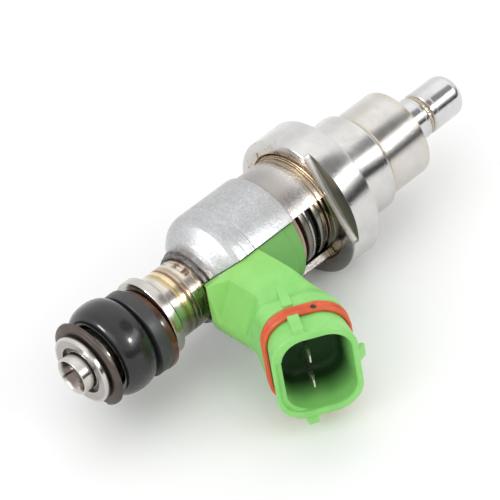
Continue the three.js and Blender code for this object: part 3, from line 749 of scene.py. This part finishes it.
def blade(name, z):
    """Flat terminal whose end narrows on all four sides."""
    half_t, half_w, corner = 0.32, 1.1, 0.07
    stations = [
        (1.4, 0.13, 0.72), (1.55, 0.17, 0.8), (2.35, half_t - 0.03, half_w - 0.05),
        (2.6, half_t, half_w), (12.0, half_t, half_w), (23.0, half_t, half_w),
    ]
    vertices = []
    for depth, t, w in stations:
        right_side = ((t, -w + corner), (t, w - corner))
        left_side = ((-t, w - corner), (-t, -w + corner))
        top = ((t - corner, w), (-t + corner, w))
        bottom = ((-t + corner, -w), (t - corner, -w))
        for u, v in (*top, *left_side, *bottom, *right_side):
            x, y = at_depth(depth, BLADE_SHIFT + u)
            vertices.append((x, y, z + v))
    faces = swept_faces(len(stations), 8, closed=False) + end_caps(len(stations), 8)
    return mesh_object(name, vertices, faces)


# ---- looks by node ----------------------------------------
WARM = (0.55, 0.49, 0.4)


def copper_winding():
    look = Look("copper winding", Metallic=1.0)
    turns = look.math("SINE", look.times(look.x, 22.0))
    look.shade = look.mix(look.limits(turns, -1, 1), (0.22, 0.08, 0.03), (0.66, 0.3, 0.14))
    look.uneven_gloss(2.0, 0.3, 0.45)
    look.bump((turns, 0.4, 0.1))
    return look.finish()


def woven_mesh():
    look = Look("filter mesh", Metallic=1.0)
    along, around = (look.math("SINE", look.times(a, b)) for a, b in ((look.x, 30.0), (look.angle, 48.0)))
    weave = look.times(along, around)
    look.shade = look.mix(look.limits(weave, -0.6, 0.6), (0.1, 0.1, 0.09), (0.55, 0.55, 0.52))
    look.uneven_gloss(2.0, 0.35, 0.5)
    look.bump((weave, 0.5, 0.1))
    return look.finish()


def build_looks():
    inner = steel("inner steel", (0.5, 0.5, 0.5), 0.25, dirt=0.1)
    iron = steel("soft iron", (0.42, 0.42, 0.41), 0.34, dirt=0.3)
    tip = steel("tip steel", (0.645, 0.645, 0.645), 0.15, 10.0, grain=0.2, dirt=0.15, marks=tube_marks)
    tin = dict(colour=(0.6, 0.57, 0.51), rough=0.3, line_depth=0.0, grain=0.0, dirt=0.1)
    return {
        "inlet_cap": steel(
            "inlet cap steel", (0.6, 0.58, 0.55), 0.15, 9.0, 0.08, 0.04, WARM, 0.25, dirt=0.2, marks=cap_marks
        ),
        "inlet_filter": woven_mesh(),
        "inlet_pipe": steel("inlet pipe steel", (0.56, 0.54, 0.5), 0.2, 7.0, 0.14, 0.06, marks=pipe_heat),
        "retainer_ring": steel(
            "retainer ring steel", (0.105, 0.088, 0.08), 0.42, 4.0, grain=0.3, tint=(0.2, 0.13, 0.1),
            dirt=0.35,
        ),
        "inlet_o_ring": rubber("inlet o-ring rubber", (0.01, 0.01, 0.011), 0.3, oil=0.5),
        "backup_ring_black": plastic(
            "charcoal backup ring", (0.045, 0.046, 0.048), (0.03, 0.03, 0.031), 0.45, grain=0.1
        ),
        "backup_ring_brown": plastic(
            "brown backup ring", (0.15, 0.055, 0.022), (0.022, 0.012, 0.01), 0.2, grain=0.15, coarse=0.45
        ),
        "fixed_core": iron,
        "adjusting_sleeve": inner,
        "return_spring": steel("spring wire", (0.35, 0.36, 0.38), 0.25),
        "coil_bobbin": plastic("pink-beige bobbin", (0.48, 0.33, 0.26), (0.36, 0.23, 0.17), 0.42),
        "coil_winding": copper_winding(),
        "nonmagnetic_sleeve": inner,
        "solenoid_shell": steel(
            "solenoid shell steel", (0.58, 0.583, 0.59), 0.36, 5.0, 0.06, 0.9, dirt=0.32, marks=shell_marks
        ),
        "lower_sleeve": steel(
            "lower sleeve steel", (0.42, 0.4, 0.38), 0.28, 5.0, 0.08, 0.6, dirt=0.3, marks=sleeve_marks
        ),
        "connector_body": connector_plastic(),
        "connector_seal": seal_look(),
        "terminal_lower": steel("tinned terminal", **tin),
        "terminal_upper": steel("tinned terminal upper", **tin),
        "yoke_washer": steel(
            "yoke washer steel", (0.2, 0.19, 0.18), 0.3, 8.0, tint=(0.3, 0.22, 0.15), dirt=0.35
        ),
        "thrust_washer": steel("thrust washer steel", (0.42, 0.4, 0.37), 0.18, 8.0, dirt=0.1),
        "dust_seal": rubber("dust seal rubber", (0.006, 0.006, 0.006), 0.5),
        "spacer_ring": steel("spacer ring steel", (0.26, 0.25, 0.22), 0.24, 8.0, tint=WARM),
        "flange_body": steel(
            "flange steel", (0.63, 0.62, 0.605), 0.125, 5.0, 0.07, 0.32, dirt=0.22, marks=flange_marks
        ),
        "needle_stop": inner,
        "armature": iron,
        "needle": inner,
        "needle_guide": iron,
        "nozzle_holder": steel(
            "nozzle holder steel", (0.635, 0.615, 0.59), 0.12, 7.0, 0.1, 0.5, WARM, 0.25, 0.2, holder_marks
        ),
        "nozzle_tube": tip,
        "tip_weld_bead": steel("weld bead", (0.48, 0.42, 0.33), 0.3, 3.0, grain=0.5, dirt=0.4),
        "nozzle_tip": tip,
    }


def connector_plastic():
    """Light green nylon: yellowish near the shell, with painted shade under the arm, on the pad and inside
    the socket.
    """
    look = Look("green connector plastic", IOR=1.5)
    look.cloudy(0.3, 0.3, 0.75, (0.275, 0.68, 0.175), (0.215, 0.6, 0.135))
    look.stain(look.limits(look.y, -17.0, -9.0), (0.33, 0.62, 0.12), 0.35)
    dx, dy = (look.minus(place, float(mouth)) for place, mouth in zip((look.x, look.y), MOUTH))
    across = look.math("MULTIPLY_ADD", dx, float(ACROSS[0]), look.times(dy, float(ACROSS[1])))
    depth = look.math("MULTIPLY_ADD", dx, float(-OUT[0]), look.times(dy, float(-OUT[1])))
    aside = look.times(look.minus(across, 0.17), 1 / 6.0)
    up = look.times(look.z, 1 / 7.8)
    powers = [look.math("POWER", look.math("ABSOLUTE", share), 3.6) for share in (aside, up)]
    inside = look.limits(look.plus(*powers), 1.0, 0.93)
    # Painted shade on the pad in the shell's slot.
    pad = look.times(look.limits(look.r, 10.25, 10.05), look.limits(look.x, -24.6, -24.0, 0.0, 0.8))
    look.stain(pad, (0.13, 0.36, 0.085))
    # Painted shade on the underside of the arm near the shroud.
    under = look.times(look.limits(look.z, -0.5, -6.5), look.limits(depth, 6.6, 8.6, 0.0, 0.9))
    look.stain(under, (0.085, 0.33, 0.045))
    # Painted shade inside the socket, darker with depth from the mouth.
    above_floor = look.limits(depth, CAVITY_DEPTH + 0.7, CAVITY_DEPTH + 0.3)
    socket_shade = look.times(look.limits(depth, 2.2, 7.0), above_floor)
    look.stain(look.times(inside, socket_shade), (0.01, 0.05, 0.009))
    look.uneven_gloss(1.2, 0.3, 0.44)
    look.roughen(inside, 0.3)
    look.bump((look.noise(5.0, 3.0), 0.08, 0.05), (look.noise(0.5, 2.0), 0.05, 0.3))
    return look.finish()


def seal_look():
    """Orange-red silicone with one dark spot on its crown."""
    look = Look("orange seal silicone", IOR=1.45)
    look.cloudy(0.6, 0.3, 0.7, (0.74, 0.115, 0.03), (0.6, 0.08, 0.022), rough=0.55)
    reach = look.node("ShaderNodeVectorMath", operation="DISTANCE")
    look.put(reach.inputs[0], look.point)
    reach.inputs[1].default_value = (*at_depth(5.3, 1.6), 9.3)
    ragged = look.plus(reach.outputs["Value"], look.times(look.noise(2.2), 0.6))
    look.stain(look.limits(ragged, 0.75, 0.95, 1.0, 0.0), (0.02, 0.012, 0.01))
    look.uneven_gloss(1.4, 0.42, 0.58)
    look.bump((look.noise(4.0), 0.08, 0.05))
    return look.finish()


LOOKS = build_looks()


# ---- visible pieces ----------------------------------------
def turning_marks(outer, cuts, edge):
    """Shallow grooves in a cylinder, from (x, depth, half width) of each."""
    points = []
    for x, depth, half in cuts:
        points += [(x - half, outer, edge), (x, outer - depth, edge * 1.2), (x + half, outer, edge)]
    return points


def inlet_cap():
    start, end, disc_r = span("inlet_cap")
    front = start + 1.94
    back = front + 0.9
    nose_r = 3.35
    profile = [
        (start, 3.02, 0.06), (start, nose_r, 0.12), (front + 0.5, nose_r, 0.1),
        (front + 0.5, 4.28, 0.1), (front, 4.28, 0.08), (front + 0.03, 5.2, 0.3),
        (front, disc_r, 0.18), (back, disc_r, 0.14), (back, 3.6), (end, 3.6), (end, 1.8),
        (start + 2.7, 1.8, 0.3), (start + 1.6, 2.28, 0.2), (start + 0.5, 2.72, 0.15),
    ]
    return turned("inlet cap", profile)


def inlet_pipe():
    start, end, collar_r = span("inlet_pipe")
    collar, collar_end = start + 13.7, start + 15.8
    pipe_r = 5.9
    cuts = ((-37.35, 0.05, 0.22), (-35.85, 0.13, 0.25), (-34.95, 0.07, 0.2), (-33.15, 0.05, 0.15))
    profile = [
        (start, 4.8), (start + 0.2, 5.0), (collar, 5.0, 0.15), (collar, collar_r, 0.15),
        (collar_end - 0.45, collar_r, 0.12), (collar_end, collar_r - 0.5, 0.12),
        (collar_end + 0.02, pipe_r, 0.2),
        *turning_marks(pipe_r, cuts, 0.1),
        (end, pipe_r), (end, 4.26), (-34.06, 4.26), (-34.06, 2.6), (-49.9, 2.6), (-49.9, 3.66),
        (start, 3.66),
    ]
    return turned("inlet pipe", profile)


def retainer_ring():
    start, end, outer = span("retainer_ring")
    gap = -81  # degrees, middle of the split

    def ragged(points, angle):
        """The cut ends lean and carry a small hook."""
        lift = (points[:, 1] - 5.1) / (outer - 5.1)
        first = angle < math.radians(-60)
        lean = -0.07 * lift + 0.05 * np.sin(lift * 9.0)
        return lean if first else (0.1 * lift - 0.04 * np.sin(lift * 8.0)) * (angle > math.radians(250))

    def worn(points, angle):
        far = points[:, 1] > 7.0
        points[:, 1] -= np.where(far, 0.035 * (1 + math.sin(3.0 * angle + 1.0) * math.sin(7.3 * angle)), 0)
        return points

    return part_turned(
        "retainer ring",
        [
            (start, 5.1), (start, 6.9, 0.15), (start + 0.12, 7.1, 0.1), (start + 0.3, outer - 0.1, 0.12),
            (end, outer, 0.12), (end, 5.1),
        ],
        gap + 17,
        gap + 360 - 17,
        ragged=ragged,
        change=worn,
    )


def inlet_o_ring():
    start, end, outer = span("inlet_o_ring")
    centre, half_width = (start + end) / 2, (end - start) / 2
    inner = 5.06
    half_height = (outer - inner) / 2
    profile = []
    for i in range(48):
        turn = 2 * math.pi * i / 48
        c, s = -math.cos(turn), math.sin(turn)
        x = centre + half_width * math.copysign(abs(c) ** 0.92, c)
        profile.append((x, inner + half_height * (1 + s)))
    return turned("inlet o-ring", profile, raw=True, sharp=80)


def backup_ring(node, inner, worn):
    start, end, _ = span(node)
    low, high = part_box(node)
    outer = (high.z - low.z) / 2 / MM
    shift = ((high.y + low.y) / 2 / MM, (high.z + low.z) / 2 / MM)

    def wavy(points, angle):
        points[:, 1] -= worn * (1 + math.sin(5 * angle + 0.7) * math.sin(2.0 * angle))
        return points

    profile = [(start, inner, 0.1), (start, outer, 0.28), (end, outer, 0.22), (end, inner, 0.1)]
    return turned(node.replace("_", " "), profile, shift=shift, change=wavy)


def solenoid_shell():
    start, end, outer = span("solenoid_shell")
    wall = 1.2
    cuts = ((-25.05, 0.05, 0.16), (-23.75, 0.035, 0.12), (-23.3, 0.07, 0.14))
    return part_turned(
        "solenoid shell",
        [
            (start, 5.96), (start, 6.55, 0.15), (start + 0.62, 6.62, 0.15), (start + 0.78, 6.35, 0.08),
            (start + 0.95, 6.9, 0.12), (-30.5, 7.05, 0.4), (-29.75, 7.5, 0.7), (-29.1, 8.35, 0.6),
            (-28.4, 9.25, 0.7), (-27.5, 10.02, 0.8), (-26.6, 10.42, 0.8), (-25.7, outer, 0.6),
            *turning_marks(outer, cuts, 0.05),
            (end, outer, 0.3), (end, outer - wall), (-26.4, outer - wall, 0.3), (-27.6, 8.8, 0.3),
            (-28.0, 5.96),
        ],
        SLOT_START,
        SLOT_END,
        edge=0.12,
    )


def lower_sleeve():
    start, _, _ = span("lower_sleeve")
    shell_end = span("solenoid_shell")[1]
    outer, inner, nested = 9.9, 8.7, 9.27
    return part_turned(
        "lower sleeve",
        [
            (start, inner), (start, nested), (shell_end + 0.06, nested, 0.02),
            (shell_end + 0.06, outer - 0.1, 0.1), (shell_end + 0.45, outer, 0.2), (-8.3, outer, 0.1),
            (-8.05, outer - 0.09, 0.12), (-7.75, outer, 0.1), (-7.15, outer, 0.15),
            (-6.95, outer - 0.12, 0.08), (-6.8, outer + 0.02, 0.08), (-6.6, outer - 0.08, 0.06),
            (-6.45, outer + 0.12, 0.06), (-6.3, outer + 0.12), (-6.3, inner),
        ],
        SLOT_START,
        SLOT_END,
        edge=0.12,
    )


def flange_body():
    start, end, outer = span("flange_body")
    front, step = -6.62, -5.25
    flat_at = 9.85
    body_r, holder_r = 9.2, 8.25
    body_end = 8.0
    profile = filleted(
        [
            (start, 4.45), (start, 7.8, 0.15), (-7.35, 7.8, 0.1), (-7.2, 8.5, 0.12),
            (front + 0.42, 8.5, 0.1), (front + 0.42, 10.15, 0.15), (front, 10.5, 0.1),
            (front, outer, 0.28), (step - 0.3, outer, 0), (step - 0.12, outer, 0),
            (step - 0.03, outer, 0), (step, outer, 0), (step + 0.02, outer, 0), (0, outer, 0.3),
            (0, body_r, 0.35), (body_end - 0.25, body_r, 0.25), (end, holder_r - 0.05, 0.15),
            (end, 6.1), (2.1, 6.1), (2.1, 2.4), (-3.3, 2.4), (-3.3, 4.95), (-5.0, 4.95), (-5.0, 4.45),
        ]
    )

    def flattened(points, angle):
        """Rings ahead of the step stop at the locating flat, with a small fillet at its foot."""
        turn = (angle - FLAT_LEAN + math.pi) % (2 * math.pi) - math.pi
        if abs(turn) > math.radians(60):
            return points
        ahead = points[:, 0] < step + 0.01
        foot = np.clip((points[:, 0] - (step - 0.3)) / 0.3, 0, 1)
        rise = 0.3 * (1 - np.sqrt(1 - foot * foot))
        corner = np.clip((front + 0.12 - points[:, 0]) / 0.12, 0, 1)
        limit = (flat_at + rise - 0.1 * corner) / math.cos(turn)
        points[:, 1] = np.where(ahead & (points[:, 1] > 9), np.minimum(points[:, 1], limit), points[:, 1])
        return points

    return turned("flange body", profile, steps=288, raw=True, change=flattened)


def nozzle_holder():
    start, end, outer = span("nozzle_holder")
    profile = [
        (start, 3.2), (start, 6.0), (8.76, 6.0), (8.76, outer - 0.12, 0.1), (9.0, outer, 0.12),
        (end - 0.28, outer, 0.2), (end, outer - 0.4, 0.2), (end, 4.9, 0.1), (end - 0.25, 4.7, 0.1),
        (end - 0.25, 3.99), (9.14, 3.99), (9.14, 3.2),
    ]
    return turned("nozzle holder", profile)


def nozzle_tube():
    start, end, outer = span("nozzle_tube")
    profile = [
        (start, 3.0), (start, outer), (21.9, outer, 0.1), (22.05, outer - 0.06, 0.08),
        (22.2, outer, 0.1), (end - 0.2, outer, 0.08), (end, outer - 0.25, 0.08), (end, 3.0),
    ]
    return turned("nozzle tube", profile, steps=144)


def tip_weld_bead():
    start, end, outer = span("tip_weld_bead")

    def rippled(points, angle):
        points[:, 1] -= np.where(points[:, 1] > outer - 0.3, 0.03 * (1 + math.sin(angle * 34)), 0)
        return points

    low = outer - 0.06
    crown = ((start + end) / 2, outer, 0.1)
    profile = [(start, 2.99), (start, low, 0.08), crown, (end, low, 0.08), (end, 2.99)]
    return turned("tip weld bead", profile, steps=288, change=rippled)


def nozzle_tip():
    start, end, outer = span("nozzle_tip")
    radius = 2.0
    face_x, face_r = end - radius, outer - radius
    turns = np.radians(np.arange(0, 91, 9))
    dome = [(face_x + radius * math.sin(a), outer - radius * (1 - math.cos(a)), 0) for a in turns]
    profile = [
        (start, 1.62), (start, 2.94), (23.6, 2.94), (23.6, outer - 0.25, 0.08), (23.8, outer, 0.08),
        (24.75, outer, 0.1), (24.9, outer - 0.05, 0.08), (25.05, outer, 0.1), *dome,
        (end - 0.06, face_r * 0.5, 0.2), (end - 0.06, 0.04, 0), (30.1, 0.04, 0), (29.6, 0.45, 0),
        (29.3, 0.5, 0), (28.0, 1.62, 0),
    ]
    return turned("nozzle tip", profile, steps=144)


def ring(node, edge):
    start, end, outer = span(node)
    inner = 5.3
    profile = [(start, inner), (start, outer, edge), (end, outer, edge), (end, inner)]
    return turned(node.replace("_", " "), profile)


def coil_bobbin():
    start, end, outer = span("coil_bobbin")
    profile = [
        (start, 5.4), (start, outer, 0.15), (start + 1.1, outer, 0.15), (start + 1.1, 6.0),
        (end - 1.3, 6.0), (end - 1.3, outer, 0.2), (end - 0.75, outer, 0.15),
        (end - 0.68, outer - 0.12, 0.1), (end - 0.6, outer, 0.12), (end, outer, 0.2), (end, 5.4),
    ]
    return turned("coil bobbin", profile)


def connector_seal():
    return ring_round_socket(
        "connector seal",
        [
            (0.1, 4.4, 0.1), (0.5, 4.4, 0.15), (0.72, 4.75, 0.25), (0.72, 5.15, 0.25), (0.42, 5.5, 0.2),
            (0.42, 5.6, 0.2), (0.74, 5.95, 0.25), (0.74, 6.35, 0.25), (0.5, 6.7, 0.15), (0.1, 6.7, 0.1),
        ],
    )


def connector_body():
    low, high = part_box("connector_body")
    margin, cell = 0.6, 0.2
    low, high = [v / MM - margin for v in low], [v / MM + margin for v in high]
    return skinned("connector body", connector_field, low, high, cell)


for make in (inlet_cap, inlet_pipe, retainer_ring, inlet_o_ring):
    kept(make(), make.__name__)
kept(backup_ring("backup_ring_black", 5.75, 0.01), "backup_ring_black")
kept(backup_ring("backup_ring_brown", 6.38, 0.03), "backup_ring_brown")
for make in (solenoid_shell, lower_sleeve, coil_bobbin, connector_body, connector_seal):
    kept(make(), make.__name__)
kept(blade("terminal lower", BLADE_DROP - BLADE_PITCH / 2), "terminal_lower")
kept(blade("terminal upper", BLADE_DROP + BLADE_PITCH / 2), "terminal_upper")
for node, edge in (("yoke_washer", 0.18), ("thrust_washer", 0.12), ("dust_seal", 0.3), ("spacer_ring", 0.22)):
    kept(ring(node, edge), node)
for make in (flange_body, nozzle_holder, nozzle_tube, tip_weld_bead, nozzle_tip):
    kept(make(), make.__name__)

for node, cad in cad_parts.items():
    if not cad.hide_render:
        cad.data.materials.clear()
        cad.data.materials.append(LOOKS[node])


# ---- floor, lights and camera ----------------------------------------
FOCAL = 6.122  # focal length over the width of the frame


def plain_floor():
    low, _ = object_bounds()
    mesh = bpy.data.meshes.new("floor")
    reach = 3.0
    corners = ((-reach, -reach), (reach, -reach), (reach, reach), (-reach, reach))
    mesh.from_pydata([(x, y, low.z) for x, y in corners], [], [(0, 1, 2, 3)])
    floor = bpy.data.objects.new("floor", mesh)
    bpy.context.scene.collection.objects.link(floor)
    look = Look("pale floor", Specular_IOR_Level=0.1)
    look.shade = look.mix(look.noise(0.01, 2.0), (0.93, 0.93, 0.93), (0.95, 0.95, 0.95))
    look.uneven_gloss(0.02, 0.75, 0.85)
    floor.data.materials.append(look.finish())


def heading(azimuth, elevation):
    a, e = math.radians(azimuth), math.radians(elevation)
    return Vector((math.cos(a) * math.cos(e), math.sin(a) * math.cos(e), math.sin(e)))


def softbox(name, azimuth, elevation, distance, width, height, radiance, glints_only=False):
    """A rectangular area light that faces the injector. glints_only lights no matt surface."""
    data = bpy.data.lights.new(name, "AREA")
    data.shape = "RECTANGLE"
    data.size, data.size_y = width, height
    data.energy = radiance * width * height * math.pi
    lamp = bpy.data.objects.new(name, data)
    lamp.location = heading(azimuth, elevation) * distance
    lamp.rotation_euler = heading(azimuth, elevation).to_track_quat("Z", "Y").to_euler()
    lamp.visible_diffuse = not glints_only
    bpy.context.scene.collection.objects.link(lamp)


def room():
    """Pale room: a bright ceiling and sides, dark low down by the key light, and a darker gap above that."""
    world = bpy.data.worlds.new("room")
    bpy.context.scene.world = world
    world.use_nodes = True
    world.node_tree.nodes.clear()
    made = Nodes(world.node_tree)
    around = made.node("ShaderNodeTexCoord").outputs["Generated"]
    apart = made.node("ShaderNodeSeparateXYZ")
    made.put(apart.inputs[0], around)
    height = apart.outputs[2]

    def toward(azimuth, elevation, far, near, outside, inside):
        """Goes from outside to inside as the direction closes in on a heading, far to near degrees away."""
        dot = made.node("ShaderNodeVectorMath", operation="DOT_PRODUCT")
        made.put(dot.inputs[0], around)
        dot.inputs[1].default_value = heading(azimuth, elevation)
        start, end = math.cos(math.radians(far)), math.cos(math.radians(near))
        return made.limits(dot.outputs["Value"], start, end, outside, inside, smooth=True)

    rising = made.limits(height, -0.1, 0.03, smooth=True)
    falling = made.limits(height, 0.2, 0.36, 1.0, 0.0, smooth=True)
    low_side = toward(-72, 0, 78, 48, 0.0, 0.95)
    low_gap = made.minus(1.0, made.times(made.times(rising, falling), low_side))
    high_gap = toward(-36, 51, 20, 10, 1.05, 0.28)
    ceiling = toward(18, 60, 45, 12, 1.0, 1.22)
    background = made.node("ShaderNodeBackground")
    made.put(background.inputs["Strength"], made.times(made.times(low_gap, ceiling), high_gap))
    background.inputs["Color"].default_value = (1.0, 1.0, 1.0, 1.0)
    made.put(made.node("ShaderNodeOutputWorld").inputs[0], background.outputs[0])


def place_camera():
    """Looks down on the injector from the inlet and connector side, from half a metre away."""
    right = Vector((0.7052, -0.696, -0.1384))
    down = Vector((-0.5338, -0.392, -0.7491))
    data = bpy.data.cameras.new("camera")
    data.sensor_width = 36
    data.lens = data.sensor_width * FOCAL
    data.clip_start, data.clip_end = 0.01, 20
    camera = bpy.data.objects.new("camera", data)
    turn = Matrix((right, -down, -right.cross(down))).transposed()
    camera.matrix_world = Matrix.Translation((-0.2559, -0.3066, 0.3285)) @ turn.to_4x4()
    bpy.context.scene.collection.objects.link(camera)
    bpy.context.scene.camera = camera


plain_floor()
room()
softbox("key", -60, 31.5, 1.0, 0.8, 0.24, 2.6)
softbox("key lamp", -77, 35, 0.9, 0.16, 0.13, 42.0, glints_only=True)
softbox("fill", 190, 38, 1.1, 0.7, 0.5, 1.3)
softbox("fill lamp", 163, 36, 0.9, 0.26, 0.1, 42.0, glints_only=True)
bpy.context.scene.view_settings.view_transform = "Standard"
place_camera()
